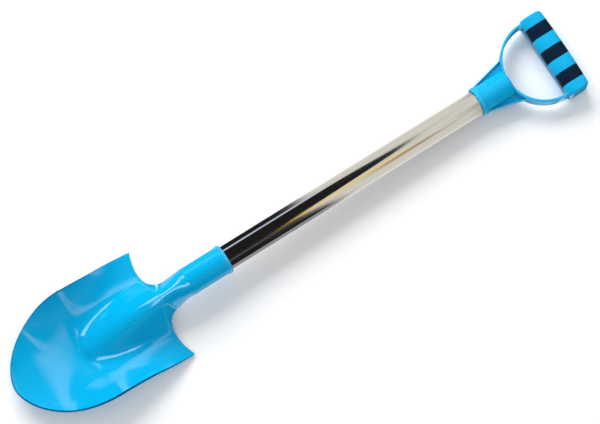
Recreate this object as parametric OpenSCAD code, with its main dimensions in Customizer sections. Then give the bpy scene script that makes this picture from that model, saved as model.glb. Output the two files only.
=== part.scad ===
// Small round-nosed spade: a moulded blade and a moulded D-grip on a thin polished tube.
// Every length is in millimetres. The pieces are drawn along the shaft: x = 0 at the blade's tip,
// z = 0 on the shaft's axis, with the hollow side of the blade facing up.
// lie_down() then lowers them onto the ground, the way the spade lies on its back.

/* [Blade outline] */
// Distance from the tip to where the blade reaches its full width
nose_len = 84; // [76:1:92]
// Half of the blade's full width
half_width = 59.5; // [54:0.5:64]
// Roundness of the nose: 2 is an ellipse, less is more pointed
nose_power = 1.7; // [1.5:0.05:2]
// Extra half-width at the shoulders
shoulder_flare = 1.5; // [0:0.1:3]
// Distance from the tip to the deepest point of the shoulder notches
notch_x = 164.4; // [160:0.2:168]
// Distance of the notches' deepest points from the centreline
notch_y = 37; // [34:1:40]
// Curvature of the shoulder notches
notch_curve = 0.0115; // [0.006:0.0005:0.014]

/* [Blade depth] */
// Wall thickness of the blade
blade_wall = 2.7; // [2.2:0.1:3.2]
// Drop of the tip below the shaft's axis
tip_drop = 11; // [6:0.5:14]
// Depth of the dish below the tip, at the middle of the nose
dish_depth = 10.5; // [7:0.5:13]
// Drop of the dish's floor for each millimetre towards the shoulders
floor_fall = 0.035; // [0.02:0.005:0.05]
// Highest point of the rim above the shaft's axis
rim_top = 1.5; // [-3:0.5:4]
// Drop of the rim from its highest point to the shoulders
rim_fall = 26.5; // [22:0.5:29]

/* [Frog and neck] */
// Distance from the tip to where the raised frog begins
frog_start = 72; // [70:1:82]
// Half of the frog's full width between its two valleys
frog_half = 28.3; // [25:0.1:31]
// Distance from the tip to where the frog has become the top of the socket
frog_end = 197; // [194:1:199]
// Outer radius of the blade's socket
socket_r = 14.5; // [14:0.1:15]
// Distance from the tip to the closed front of the socket
socket_front = 190; // [186:1:192]
// Distance from the tip to the mouth of the socket
socket_mouth = 243.7; // [238:0.1:250]
// Outer radius of the bead round each socket's mouth
bead_r = 15.5; // [15:0.1:15.6]
// Thickness of the ribs under the frog
rib_t = 2; // [1.6:0.1:2.6]

/* [Shaft] */
// Outer diameter of the tube
tube_d = 25; // [24.8:0.1:25.2]
// Wall thickness of the tube
tube_wall = 0.6; // [0.5:0.1:1]
// Length of the tube
tube_len = 380; // [360:5:400]
// Length of the plug inside each end of the tube
plug_len = 32; // [28:1:45]
// Thickness of the flange on each plug
flange_t = 1.5; // [1:0.1:2]

/* [Fixing screws] */
// Radius of each screw's shank
screw_r = 1.45; // [1.2:0.05:1.7]
// Radius of each screw's countersunk head
screw_head_r = 2.75; // [2.5:0.05:3]
// Length of each screw
screw_len = 13; // [10:0.5:14]

/* [D-grip] */
// Length of the grip's socket
grip_socket_len = 39; // [36:0.5:42]
// Outer radius of the grip's socket
grip_socket_r = 14.3; // [14:0.1:15]
// Inner radius of the D-shaped loop
loop_r = 41; // [38:0.5:44]
// Thickness of the loop's band
loop_t = 2.7; // [2.2:0.1:3.5]
// Depth of the loop's band, front to back
loop_depth = 15; // [12:0.5:18]
// Length of the bar across the shaft
bar_len = 91; // [88:0.5:96]
// Width of the bar along the shaft
bar_w = 24; // [22:0.5:26]
// Depth of the bar, front to back
bar_t = 23; // [22.6:0.1:24]
// Radius of the bar's long edges
bar_round = 4; // [3:0.25:5]
// Width of each soft pad along the bar
pad_w = 13.5; // [10:0.5:16]
// Distance between the pads' centres
pad_pitch = 27.3; // [24:0.1:28]
// Thickness of the soft pads
pad_t = 1.8; // [1.4:0.1:2.2]

/* [Hidden] */

fit = 0.05;                                  // gap between pieces that are pressed together
over = 0.5;                                  // how far a cutting shape passes a surface
tube_r = tube_d / 2;
bore_r = tube_r + fit;
plug_r = tube_r - tube_wall - fit;
end_wall = 2.5;                              // closed front of the blade's socket
plug_front = socket_front + end_wall;
tube_x0 = plug_front + flange_t;
tube_x1 = tube_x0 + tube_len;
bead_len = 5.6;
grip_bead_len = 5;
grip_floor = tube_x1 + flange_t;             // closed end of the grip's socket
grip_end_wall = 5.5;                         // solid end of the grip's socket
grip_mouth = grip_floor + grip_end_wall - grip_socket_len;
loop_x = grip_floor + grip_end_wall + loop_r;  // centre of the loop
bar_x0 = loop_x + 1;                         // inner face of the bar
bar_x1 = bar_x0 + bar_w;
hook_land = 2.3;                             // straight ends of the loop, beside the bar
bar_end_r = 4;                               // round corners at the bar's ends
bar_bow = 1;                                 // how far the outer side of the bar bows out
bar_shell = 4.2;                             // wall of the bar, with room for the pads
bar_skin = 2.4;                              // wall of the bar at its two ends
bar_rib_t = 1.6;                             // cross ribs in the bar's hollow back
web_t = 2.4;
rim_t = 1.2;                                 // raised rim of each web
rim_depth = 7;
lower_screw_x = 218;
upper_screw_x = grip_mouth + 21;
screw_head_h = 1.6;
head_sink = 0.35;                            // flat head below the socket's round surface

blade_columns = 44;
blade_rows = 34;

blade_color = [0.00, 0.66, 0.89];
grip_color = [0.06, 0.68, 0.90];
pad_color = [0.05, 0.15, 0.24];
steel_color = [0.78, 0.78, 0.76];
plug_color = [0.86, 0.86, 0.82];

// ---- curves ---------------------------------------------------------------------------------

function clamp01(t) = min(1, max(0, t));
function ease(t) = let (c = clamp01(t)) c * c * (3 - 2 * c);
// The same without curvature at its two ends
function glide(t) = let (c = clamp01(t)) c * c * c * (c * (6 * c - 15) + 10);
function mix(a, b, t) = a + (b - a) * t;
// A smooth version of max(t, 0), rounded over a width of e
function soft(t, e) = (t + sqrt(t * t + e * e)) / 2;

// Where the nose's outline crosses a column at distance y from the centreline
function nose_edge(y) =
    nose_len * (1 - sqrt(max(0, 1 - pow(min(1, abs(y) / half_width), nose_power))));

// Half-width of the frog, and past the notches of the neck
neck_half = 14.2;
neck_root = 164.5;
neck_flare = 12.9;
neck_taper = 6;
neck_lead = 20;                              // how far ahead of its root the neck's form counts
neck_soft = 3;                               // softens the turn from the frog to the neck
frog_growth = 32;                            // distance over which the frog widens
frog_blunt = 0.75;                           // under 1 for a blunt nose
frog_least = 0.4;                            // keeps the frog's width above zero before it begins
function frog_width(x) =
    let (run = max(x - frog_start, 0) + frog_least,
         grown = frog_half * pow(1 - exp(-run / frog_growth), frog_blunt),
         necked = neck_half + neck_flare * exp(-max(x - neck_root, -neck_lead) / neck_taper))
    grown - soft(grown - necked, neck_soft);

// Rear edge of a column: the shoulder notch, the side of the neck, or inside the socket
neck_meets_notch = 23.8;
sheet_end = socket_front + 5;
function rear_edge(y) =
    abs(y) >= neck_meets_notch
        ? notch_x + notch_curve * pow(abs(y) - notch_y, 2)
        : min(sheet_end,
              neck_root - neck_taper * ln(max(abs(y) - neck_half, 0.001) / neck_flare));

// Heights above the shaft's axis: the dish's floor, its rim, the frog's crest and its foot
dish_run = 25;                               // how quickly the dish deepens behind the tip
rim_rise_x = 51;                             // where the rim is halfway up
rim_rise = 9.7;                              // how quickly it rises there
rim_fall_len = 86;                           // length over which it falls towards the shoulders
rim_fall_power = 1.35;
rim_soft = 0.12;                             // softens the start of the fall
function floor_z(x) = -tip_drop - dish_depth * (1 - exp(-x / dish_run)) - floor_fall * x;
function rim_z(x) =
    -tip_drop + (tip_drop + rim_top) / (1 + exp(-(x - rim_rise_x) / rim_rise))
    - rim_fall * pow(soft((x - nose_len) / rim_fall_len, rim_soft), rim_fall_power);

// Half-width over which the dish deepens: the outline's, but turning into the sides softly
belly_soft = 0.15;
function belly(x) =
    let (u = soft(1 - x / nose_len, belly_soft) / soft(1, belly_soft))
    half_width * pow(max(0, 1 - u * u), 1 / nose_power);
crest_lag = 0.02;                            // share of the frog before its crest rises
crest_soft = 0.07;
crest_power = 1.4;
function crest_z(x) =
    let (run = (x - frog_start) / (frog_end - frog_start),
         u = clamp01(soft(run - crest_lag, crest_soft) / soft(1 - crest_lag, crest_soft)),
         start = floor_z(frog_start))
    start + (socket_r - start) * (1 - pow(1 - u, crest_power));
foot_start = 163;
foot_rise = frog_end - foot_start;
function foot_z(x) = floor_z(foot_start) * (1 - ease((x - foot_start) / foot_rise));

// Share of the frog's height at v, from 0 on its crest to 1 in its valley
valley = 7.5;                                // how far the valley's fillet reaches
widest_fillet = 1.2;
function frog_share(v, width) =
    let (fillet = min(widest_fillet, 2 * valley / width))
    soft(1 - v * v, fillet) / soft(1, fillet);

// Height of the blade's upper surface
nose_fade = 14;                              // the frog's nose rises over this distance
nose_lead = 3;
dish_power = 2.1;
neck_start = 160;                            // the neck's arch takes over from here
neck_blend = 31;
neck_side = 18;                              // and fades out towards the shoulders from here
neck_side_blend = 12;
foot_fillet = 0.5;                           // fillet at the arch's foot, near the neck's root
fillet_start = 162;
fillet_fade = 20;
function blade_z(x, y) =
    let (across = min(1.1, abs(y) / max(belly(x), 0.01)),
         dish = mix(floor_z(x), rim_z(x), pow(across, dish_power)),
         width = frog_width(x),
         v = abs(y) / width,
         nose = glide((x - frog_start + nose_lead) / nose_fade),
         height = max(0, crest_z(x) - floor_z(x)) * nose,
         fillet = foot_fillet * (1 - glide((x - fillet_start) / fillet_fade)),
         arch = foot_z(x) + (crest_z(x) - foot_z(x)) * sqrt(soft(1 - v * v, fillet)),
         necking = glide((x - neck_start) / neck_blend)
                   * (1 - glide((abs(y) - neck_side) / neck_side_blend)))
    mix(dish + height * frog_share(v, width), arch, necking);

// ---- blade ----------------------------------------------------------------------------------

// Columns crowd towards the sides, where the outline turns, and over the neck
crowd_power = 1.6;
crowd_share = 0.55;
function column_y(i) =
    let (q = 2 * i / blade_columns - 1)
    half_width * mix(sin(90 * q), sign(q) * pow(abs(q), crowd_power), crowd_share);

rear_crowding = 0.35;                        // how much the rows crowd towards the rear edge
flare_x = 115;                               // where the shoulders start to flare
flare_len = 38;
flare_power = 4;                             // keeps the flare close to the side edges
function blade_point(i, j) =
    let (y = column_y(i), s = j / blade_rows,
         x = mix(nose_edge(y), rear_edge(y), mix(s, s * (2 - s), rear_crowding)),
         flare = shoulder_flare * ease((x - flare_x) / flare_len)
               * pow(abs(y) / half_width, flare_power))
    [x, y + sign(y) * flare, blade_z(x, y)];

// The grid of points that lies evenly below another grid
function underside(grid, depth) =
    let (rows = len(grid), cols = len(grid[0]))
    [for (j = [0 : rows - 1]) [for (i = [0 : cols - 1])
        let (along = grid[min(j + 1, rows - 1)][i] - grid[max(j - 1, 0)][i],
             across = grid[j][min(i + 1, cols - 1)] - grid[j][max(i - 1, 0)],
             n = cross(along, across))
        grid[j][i] - n / norm(n) * depth]];

blade_top = [for (j = [0 : blade_rows]) [for (i = [0 : blade_columns]) blade_point(i, j)]];
blade_under = underside(blade_top, blade_wall);

// Closes two grids of points, one below the other, into a sheet
module sheet(grid, under) {
    rows = len(grid);
    cols = len(grid[0]);
    top = [for (row = grid, p = row) p];
    bottom = [for (row = under, p = row) p];
    count = rows * cols;
    skin = [for (j = [0 : rows - 2], i = [0 : cols - 2])
        let (a = j * cols + i) [a, a + 1, a + cols + 1, a + cols]];
    rim = concat(
        [for (i = [0 : cols - 1]) i],
        [for (j = [1 : rows - 1]) j * cols + cols - 1],
        [for (i = [cols - 2 : -1 : 0]) (rows - 1) * cols + i],
        [for (j = [rows - 2 : -1 : 1]) j * cols]);
    turns = len(rim);
    polyhedron(
        points = concat(top, bottom),
        faces = concat(
            [for (f = skin) each [[f[0], f[1], f[2]], [f[0], f[2], f[3]]]],
            [for (f = skin) each [[f[2] + count, f[1] + count, f[0] + count],
                                  [f[3] + count, f[2] + count, f[0] + count]]],
            [for (k = [0 : turns - 1])
                let (a = rim[k], b = rim[(k + 1) % turns])
                each [[b, a, a + count], [b, a + count, b + count]]]));
}

// A turned piece: the profile's points are [distance along the shaft, radius]
module turned(profile, facets = 96) {
    rotate([0, 90, 0])
        rotate_extrude($fn = facets)
            polygon([for (p = profile) [p[1], p[0]]]);
}

// A straight round rod along the shaft, from x0 to x1
module rod(x0, x1, r, facets = 96) {
    translate([x0, 0, 0])
        rotate([0, 90, 0])
            cylinder(r = r, h = x1 - x0, $fn = facets);
}

// Hole for a countersunk screw that enters a round socket from behind
module screw_hole(x, outer_r) {
    translate([x, 0, -outer_r])
        cylinder(r = screw_r + fit, h = outer_r, $fn = 32);
    translate([x, 0, -outer_r - over])
        cylinder(r = screw_head_r + fit, h = over + head_sink, $fn = 48);
    translate([x, 0, -outer_r + head_sink])
        cylinder(r1 = screw_head_r + fit, r2 = screw_r + fit, h = screw_head_h, $fn = 48);
}

// Rounded bead round the mouth of a socket, as points of a turned profile
bead_steps = 8;
function bead_arc(x, width, base_r, top_r) =
    [for (k = [0 : bead_steps])
        let (turn = 180 * k / bead_steps)
        [x + width / 2 - cos(turn) * width / 2, base_r + sin(turn) * (top_r - base_r)]];

front_chamfer = 1.5;
module blade_socket() {
    turned(concat(
        [[socket_front, 0], [socket_front, socket_r - front_chamfer],
         [socket_front + front_chamfer, socket_r]],
        bead_arc(socket_mouth - bead_len, bead_len, socket_r, bead_r),
        [[socket_mouth, 0]]));
}

// Keel under the frog: from the frog's low front to the closed front of the socket
keel_x0 = 128;
keel_deep_x = 165;
keel_steps = 16;
keel_overlap = 2;                            // how far the keel reaches into the socket's front
keel_rise = 1;                               // its lower edge above the dish's floor
module frog_keel() {
    keel_x1 = socket_front + keel_overlap;
    top = [for (k = [0 : keel_steps])
        let (x = mix(keel_x0, keel_x1, k / keel_steps)) [x, blade_z(x, 0) - blade_wall / 2]];
    rotate([90, 0, 0])
        linear_extrude(rib_t, center = true)
            polygon(concat(top, [[keel_x1, front_chamfer - socket_r],
                                 [keel_deep_x, floor_z(foot_start) + keel_rise]]));
}

module blade() {
    color(blade_color)
        lie_down()
            difference() {
                union() {
                    sheet(blade_top, blade_under);
                    blade_socket();
                    frog_keel();
                }
                rod(plug_front, socket_mouth + over, bore_r);
                screw_hole(lower_screw_x, socket_r);
            }
}

// ---- shaft ----------------------------------------------------------------------------------

// Pilot hole for a fixing screw, through everything inside the socket
module pilot(x) {
    translate([x, 0, -tube_r - over])
        cylinder(r = screw_r + fit, h = screw_len, $fn = 32);
}

module shaft_tube() {
    color(steel_color)
        lie_down()
            difference() {
                rod(tube_x0, tube_x1, tube_r);
                rod(tube_x0 - over, tube_x1 + over, tube_r - tube_wall);
                pilot(lower_screw_x);
                pilot(upper_screw_x);
            }
}

// Plug inside a tube's end: flange outside, chamfered nose inside; dir is +1 or -1 along x
module tube_plug(end_x, dir, screw_x) {
    chamfer = 1.5;
    flange_r = tube_r - 0.3;
    difference() {
        translate([end_x, 0, 0])
            rotate([0, dir > 0 ? 0 : 180, 0])
                turned([[-flange_t, 0], [-flange_t, flange_r], [0, flange_r], [0, plug_r],
                        [plug_len - chamfer, plug_r], [plug_len, plug_r - chamfer],
                        [plug_len, 0]]);
        pilot(screw_x);
    }
}

module lower_tube_plug() {
    color(plug_color)
        lie_down()
            tube_plug(tube_x0, 1, lower_screw_x);
}

module upper_tube_plug() {
    color(plug_color)
        lie_down()
            tube_plug(tube_x1, -1, upper_screw_x);
}

// ---- fixing screws --------------------------------------------------------------------------

// Countersunk self-tapping screw, entering upwards from the back of a socket
module fixing_screw(x, outer_r) {
    point = 3;
    point_r = 0.2;
    slot_len = 3;
    slot_w = 0.7;
    slot_depth = 1;
    translate([x, 0, -outer_r + head_sink])
        difference() {
            union() {
                cylinder(r1 = screw_head_r, r2 = screw_r, h = screw_head_h, $fn = 48);
                cylinder(r = screw_r, h = screw_len - point, $fn = 48);
                translate([0, 0, screw_len - point])
                    cylinder(r1 = screw_r, r2 = point_r, h = point, $fn = 48);
            }
            for (turn = [0, 90])
                rotate([0, 0, turn])
                    cube([slot_len, slot_w, 2 * slot_depth], center = true);
        }
}

module lower_fixing_screw() {
    color(steel_color)
        lie_down()
            fixing_screw(lower_screw_x, socket_r);
}

module upper_fixing_screw() {
    color(steel_color)
        lie_down()
            fixing_screw(upper_screw_x, grip_socket_r);
}

// ---- D-grip ---------------------------------------------------------------------------------

// Rectangle between two corners with round corners of radius r
module round_rect(p, q, r) {
    translate([p[0] + r, p[1]])
        square([q[0] - p[0] - 2 * r, q[1] - p[1]]);
    translate([p[0], p[1] + r])
        square([q[0] - p[0], q[1] - p[1] - 2 * r]);
    for (x = [p[0] + r, q[0] - r], y = [p[1] + r, q[1] - r])
        translate([x, y])
            circle(r = r, $fn = 64);
}

// The bar's outer form, inset evenly by a wall: its section swept along y, cut by its top view
module bar_form(inset) {
    intersection() {
        rotate([90, 0, 0])
            linear_extrude(bar_len + 2, center = true)
                round_rect([bar_x0 + inset, -bar_t / 2 + inset],
                           [bar_x1 + bar_bow - inset, bar_t / 2 - inset], bar_round - inset);
        linear_extrude(bar_t + 2, center = true)
            bar_plan(inset);
    }
}

// Top view of the bar, with its outer side bowed as a wide arc
module bar_plan(inset) {
    bow_r = pow(bar_len / 2, 2) / (2 * bar_bow);
    intersection() {
        round_rect([bar_x0 + inset, -bar_len / 2 + inset],
                   [bar_x1 + bar_bow - inset, bar_len / 2 - inset], bar_end_r - inset);
        translate([bar_x1 + bar_bow - bow_r, 0])
            circle(r = bow_r - inset, $fn = 180);
    }
}

// The space a pad fills: over the front of the bar and halfway down its two long sides
module pad_space(y, clearance) {
    difference() {
        intersection() {
            bar_form(0);
            translate([bar_x0 - over, y - pad_w / 2 - clearance, -clearance])
                cube([bar_w + bar_bow + 2 * over, pad_w + 2 * clearance, bar_t]);
        }
        bar_form(pad_t + clearance);
    }
}

// Hollow back of the bar, left open behind, with cross ribs standing in it
module bar_hollow() {
    rib_count = 4;
    bay = (bar_len - 2 * bar_skin - (rib_count + 1) * bar_rib_t) / (rib_count + 1);
    for (k = [0 : rib_count])
        translate([bar_x0 + bar_shell,
                   -bar_len / 2 + bar_skin + bar_rib_t / 2 + k * (bay + bar_rib_t),
                   -bar_t / 2 - over])
            cube([bar_w - 2 * bar_shell, bay, bar_t - bar_shell + over]);
}

// Band of the D, from one end of the bar round to the other
band_reach = 3;                              // how far the band's ends pass the loop's centre
band_sunk = 2;                               // how deep the band's ends stand in the bar
module loop_band() {
    linear_extrude(loop_depth, center = true)
        difference() {
            union() {
                circle_at(loop_r + loop_t);
                translate([loop_x, -loop_r - loop_t])
                    square([band_reach, 2 * (loop_r + loop_t)]);
            }
            circle_at(loop_r);
            translate([bar_x0 - hook_land, -loop_r])
                square([loop_r, 2 * loop_r]);
            translate([bar_x0 + band_sunk, -bar_len])
                square([bar_len, 2 * bar_len]);
        }
}

module circle_at(r) {
    translate([loop_x, 0])
        circle(r = r, $fn = 180);
}

// Flat web on each side of the socket, with a raised rim along its outer edge
web_foot = [4, 13.5];
web_head = [45, 24];
module webs() {
    for (side = [-1, 1])
        linear_extrude(web_t, center = true)
            web_plan(side, 0);
    for (side = [-1, 1])
        linear_extrude(rim_depth, center = true)
            web_plan(side, rim_t);
}

// Top view of a web: the whole triangle, or only a strip of it along its outer edge
module web_plan(side, strip) {
    x = grip_mouth;
    inner = strip > 0 ? [[x + web_head[0], side * (web_head[1] - strip)],
                         [x + web_foot[0], side * (web_foot[1] - strip)]]
                      : [[x + web_head[0], 0], [x + web_foot[0], 0]];
    difference() {
        polygon(concat([[x + web_foot[0], side * web_foot[1]],
                        [x + web_head[0], side * web_head[1]]], inner));
        circle_at(loop_r + loop_t / 2);
    }
}

module grip_socket() {
    socket_end = grip_mouth + grip_socket_len;
    wide = 3;                                // the end is rounded off by two chamfers
    narrow = 1;
    turned(concat(
        [[grip_mouth, 0]],
        bead_arc(grip_mouth, grip_bead_len, grip_socket_r, bead_r),
        [[socket_end - wide, grip_socket_r],
         [socket_end - narrow, grip_socket_r - narrow],
         [socket_end, grip_socket_r - wide],
         [socket_end, 0]]));
}

module grip_handle() {
    color(grip_color)
        lie_down()
            difference() {
                union() {
                    difference() {
                        union() {
                            grip_socket();
                            webs();
                        }
                        linear_extrude(bar_len, center = true)
                            circle_at(loop_r);
                    }
                    loop_band();
                    bar_form(0);
                }
                bar_hollow();
                for (k = [-1, 0, 1])
                    pad_space(k * pad_pitch, fit);
                rod(grip_mouth - over, grip_floor, bore_r);
                screw_hole(upper_screw_x, grip_socket_r);
            }
}

module grip_pad(k) {
    color(pad_color)
        lie_down()
            pad_space(k * pad_pitch, 0);
}

module grip_pad_left() {
    grip_pad(1);
}

module grip_pad_centre() {
    grip_pad(0);
}

module grip_pad_right() {
    grip_pad(-1);
}

// ---- lying on its back ----------------------------------------------------------------------

// The spade rests on the underside of the blade's shoulders, and on the back of the bar or on
// the bead of the grip's socket, whichever is lower
function pitched(p, a) = [p[0] * cos(a) + p[2] * sin(a), p[1], p[2] * cos(a) - p[0] * sin(a)];
function blade_low(a) = min([for (row = blade_under, p = row) pitched(p, a)[2]]);
function blade_front(a) = min([for (row = blade_under, p = row) pitched(p, a)[0]]);
edge_x = bar_x1 + bar_bow - bar_round;       // centre of the bar's outer round edges
edge_z = bar_t / 2 - bar_round;
bead_mid = [grip_mouth + grip_bead_len / 2, 0, -bead_r];
function grip_low(a) = min(pitched([edge_x, 0, -edge_z], a)[2] - bar_round,
                           pitched(bead_mid, a)[2]);
function settled(a, steps) =
    steps == 0 ? a
               : settled(a - atan((blade_low(a) - grip_low(a)) / (edge_x - notch_x)), steps - 1);
pitch = settled(2, 6);
far_end = pitched([edge_x, 0, edge_z], pitch)[0] + bar_round;

module lie_down() {
    translate([-(blade_front(pitch) + far_end) / 2, 0, -grip_low(pitch)])
        rotate([0, pitch, 0])
            children();
}

blade();
shaft_tube();
lower_tube_plug();
upper_tube_plug();
lower_fixing_screw();
upper_fixing_screw();
grip_handle();
grip_pad_left();
grip_pad_centre();
grip_pad_right();
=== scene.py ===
"""Looks of a small spade: a glossy moulded blade, a polished tube and a moulded D-grip.

Shapes are worked out in millimetres along the shaft: x runs from the blade's tip to the grip,
y across the blade and z out of its hollow side, with z = 0 on the shaft's axis. ShaftFrame
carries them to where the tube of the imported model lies.
"""

import logging
import math
from dataclasses import dataclass, field
from enum import Enum

import bmesh
import bpy
import numpy as np
from mathutils import Matrix, Vector


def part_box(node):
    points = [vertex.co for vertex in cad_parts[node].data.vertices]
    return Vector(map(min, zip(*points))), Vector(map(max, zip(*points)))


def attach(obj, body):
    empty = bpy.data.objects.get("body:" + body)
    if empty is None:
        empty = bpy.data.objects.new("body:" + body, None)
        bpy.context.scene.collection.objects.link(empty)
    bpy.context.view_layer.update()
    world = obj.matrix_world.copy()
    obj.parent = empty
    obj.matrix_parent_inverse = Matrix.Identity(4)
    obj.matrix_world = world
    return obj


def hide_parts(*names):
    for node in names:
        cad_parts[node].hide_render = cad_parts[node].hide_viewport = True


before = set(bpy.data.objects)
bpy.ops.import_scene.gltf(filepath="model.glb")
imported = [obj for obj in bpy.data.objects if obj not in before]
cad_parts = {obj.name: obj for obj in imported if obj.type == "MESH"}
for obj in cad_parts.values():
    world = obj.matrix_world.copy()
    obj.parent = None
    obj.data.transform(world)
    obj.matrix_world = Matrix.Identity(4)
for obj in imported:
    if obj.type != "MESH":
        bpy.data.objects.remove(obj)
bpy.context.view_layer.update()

logging.basicConfig(level=logging.INFO, format="%(name)s: %(message)s")
log = logging.getLogger("spade")

MM = 0.001
Array = np.ndarray


# ---- curves --------------------------------------------------------------------------------


def ease(t: Array) -> Array:
    """Smooth step: 3t^2 - 2t^3, held at 0 below t = 0 and at 1 above t = 1."""
    c = np.clip(t, 0.0, 1.0)
    return c * c * (3.0 - 2.0 * c)


def glide(t: Array) -> Array:
    """Smooth step from 0 to 1 that also starts and ends without curvature."""
    c = np.clip(t, 0.0, 1.0)
    return c**3 * (c * (6.0 * c - 15.0) + 10.0)


def mix(a: Array, b: Array, t: Array) -> Array:
    """Straight blend from a at t = 0 to b at t = 1."""
    return a + (b - a) * t


def window(value: Array, low: float, high: float, soft: float) -> Array:
    """1 between two limits and 0 outside, with smooth steps on both sides."""
    return ease((value - low) / soft + 0.5) * (1.0 - ease((value - high) / soft + 0.5))


def soft_ramp(t: Array, width: float) -> Array:
    """Smooth version of max(t, 0): (t + sqrt(t^2 + width^2)) / 2."""
    return (t + np.sqrt(t * t + width * width)) / 2.0


def arc(cx: float, cy: float, r: float, start: float, end: float, steps: int) -> Array:
    """Points of a circular arc.

    Args:
        cx: First coordinate of the centre.
        cy: Second coordinate of the centre.
        r: Radius.
        start: First angle in degrees.
        end: Last angle in degrees.
        steps: Number of points.

    Returns:
        An array of steps points in the plane.
    """
    a = np.radians(np.linspace(start, end, steps))
    return np.stack([cx + r * np.cos(a), cy + r * np.sin(a)], axis=1)


def round_rect(x0: float, x1: float, z0: float, z1: float, r: float, steps: int = 9) -> Array:
    """Closed loop of a rectangle with round corners: four quarter arcs joined by lines.

    Args:
        x0: Low first coordinate.
        x1: High first coordinate.
        z0: Low second coordinate.
        z1: High second coordinate.
        r: Corner radius.
        steps: Points on each corner.

    Returns:
        The loop's points, anticlockwise from the low edge of the high side.
    """
    corners = (
        arc(x1 - r, z0 + r, r, -90, 0, steps),
        arc(x1 - r, z1 - r, r, 0, 90, steps),
        arc(x0 + r, z1 - r, r, 90, 180, steps),
        arc(x0 + r, z0 + r, r, 180, 270, steps),
    )
    return np.concatenate(corners)


# ---- meshes --------------------------------------------------------------------------------


@dataclass
class Shell:
    """Closed surfaces gathered into one mesh, with a mask that is 1 where edges get a painted
    highlight.
    """

    points: list[Array] = field(default_factory=list)
    faces: list[Array] = field(default_factory=list)
    edges: list[Array] = field(default_factory=list)
    count: int = 0

    def add(self, points: Array, faces: Array, edge: Array | float = 0.0) -> None:
        """Adds a surface.

        Args:
            points: Array of N points in millimetres.
            faces: Array of faces, each a row of indices into points.
            edge: Mask of the painted edge highlight at each point, or one value for all.
        """
        flat = points.reshape(-1, 3)
        self.points.append(flat)
        self.faces.append(np.asarray(faces) + self.count)
        self.edges.append(np.broadcast_to(np.asarray(edge, float).reshape(-1), (len(flat),)))
        self.count += len(flat)

    def grid(self, points: Array, wrap: bool = False, edge: Array | float = 0.0) -> None:
        """Adds a grid of points, with its columns joined end to end if wrap is true.

        Args:
            points: Array of rows by columns by 3.
            wrap: Whether the last column joins the first.
            edge: Mask of the painted edge highlight at each point, or one value for all.
        """
        rows, cols = points.shape[:2]
        self.add(points, grid_faces(rows, cols, wrap), edge)

    def build(self, name: str, sharp: float = 32.0) -> bpy.types.Object:
        """Makes the Blender object.

        Args:
            name: The piece's name.
            sharp: Angle in degrees above which an edge is shaded sharp.

        Returns:
            The new object, at the origin, with its place in its mesh.
        """
        mesh = bpy.data.meshes.new(name)
        verts = LIE.place(np.concatenate(self.points))
        faces = [tuple(f) for block in self.faces for f in block.tolist()]
        mesh.from_pydata(verts, [], faces)
        # The mask of the painted edge highlight is kept on the mesh's points.
        edge_light = mesh.attributes.new("edge_light", "FLOAT", "POINT")
        edge_light.data.foreach_set("value", np.concatenate(self.edges).astype(np.float32))
        close_up(mesh)
        mesh.shade_smooth()
        mesh.set_sharp_from_angle(angle=math.radians(sharp))
        return new_object(name, mesh)


def grid_faces(rows: int, cols: int, wrap: bool = False) -> Array:
    """Quads of a grid of rows by cols points, row by row.

    Args:
        rows: Number of rows.
        cols: Number of columns.
        wrap: Whether the last column joins the first.

    Returns:
        An array of quads.
    """
    spans = cols if wrap else cols - 1
    j, i = np.meshgrid(np.arange(rows - 1), np.arange(spans), indexing="ij")
    k = (i + 1) % cols
    quads = np.stack([j * cols + i, j * cols + k, (j + 1) * cols + k, (j + 1) * cols + i], axis=-1)
    return quads.reshape(-1, 4)


def close_up(mesh: bpy.types.Mesh) -> None:
    """Merges doubles at seams and poles, then turns every face outwards.

    Args:
        mesh: The mesh to mend.
    """
    bm = bmesh.new()
    bm.from_mesh(mesh)
    bmesh.ops.remove_doubles(bm, verts=bm.verts, dist=2e-7)
    bmesh.ops.dissolve_degenerate(bm, dist=1e-7, edges=bm.edges)
    bmesh.ops.recalc_face_normals(bm, faces=bm.faces)
    bm.to_mesh(mesh)
    bm.free()


def weld(points: Array, faces: Array) -> tuple[Array, Array]:
    """Merges points that share a place, to a ten-thousandth of a millimetre.

    Args:
        points: Array of points.
        faces: Rows of indices into points.

    Returns:
        The points that are left, and the faces renumbered.
    """
    _, first, index = np.unique(
        np.round(points, 4), axis=0, return_index=True, return_inverse=True
    )
    return points[first], index.reshape(-1)[faces]


def vertex_normals(points: Array, quads: Array) -> Array:
    """Unit normals at points: the sum of the cross products of each quad's two diagonals.

    Args:
        points: Array of points.
        quads: Rows of four indices.

    Returns:
        One normal for each point.
    """
    a, b, c, d = (points[quads[:, k]] for k in range(4))
    each = np.cross(c - a, d - b)
    n = np.zeros_like(points)
    for k in range(4):
        np.add.at(n, quads[:, k], each)
    return n / np.maximum(np.linalg.norm(n, axis=1, keepdims=True), 1e-12)


def border_loop(quads: Array) -> Array:
    """Indices of the points round a sheet's border, in order.

    An edge that only one quad has is on the border; each is followed to the next.

    Args:
        quads: Rows of four indices.

    Returns:
        The indices of the border's points.
    """
    edges = np.concatenate([quads[:, [k, (k + 1) % 4]] for k in range(4)])
    edges = edges[edges[:, 0] != edges[:, 1]]
    both = set(map(tuple, edges.tolist()))
    follow = {a: b for a, b in both if (b, a) not in both}
    start = next(iter(follow))
    loop = [start]
    while follow[loop[-1]] != start:
        loop.append(follow[loop[-1]])
    return np.array(loop)


def turned(profile: Array, segments: int = 192) -> Array:
    """Surface of revolution about the shaft's axis.

    Args:
        profile: Points of [distance along the shaft, radius].
        segments: Number of steps round the axis.

    Returns:
        A grid of points, one row for each profile point; its columns wrap.
    """
    a = np.arange(segments) * 2.0 * math.pi / segments
    x = np.repeat(profile[:, :1], segments, axis=1)
    y = profile[:, 1:] * np.cos(a)
    z = profile[:, 1:] * np.sin(a)
    return np.stack([x, y, z], axis=-1)


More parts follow.
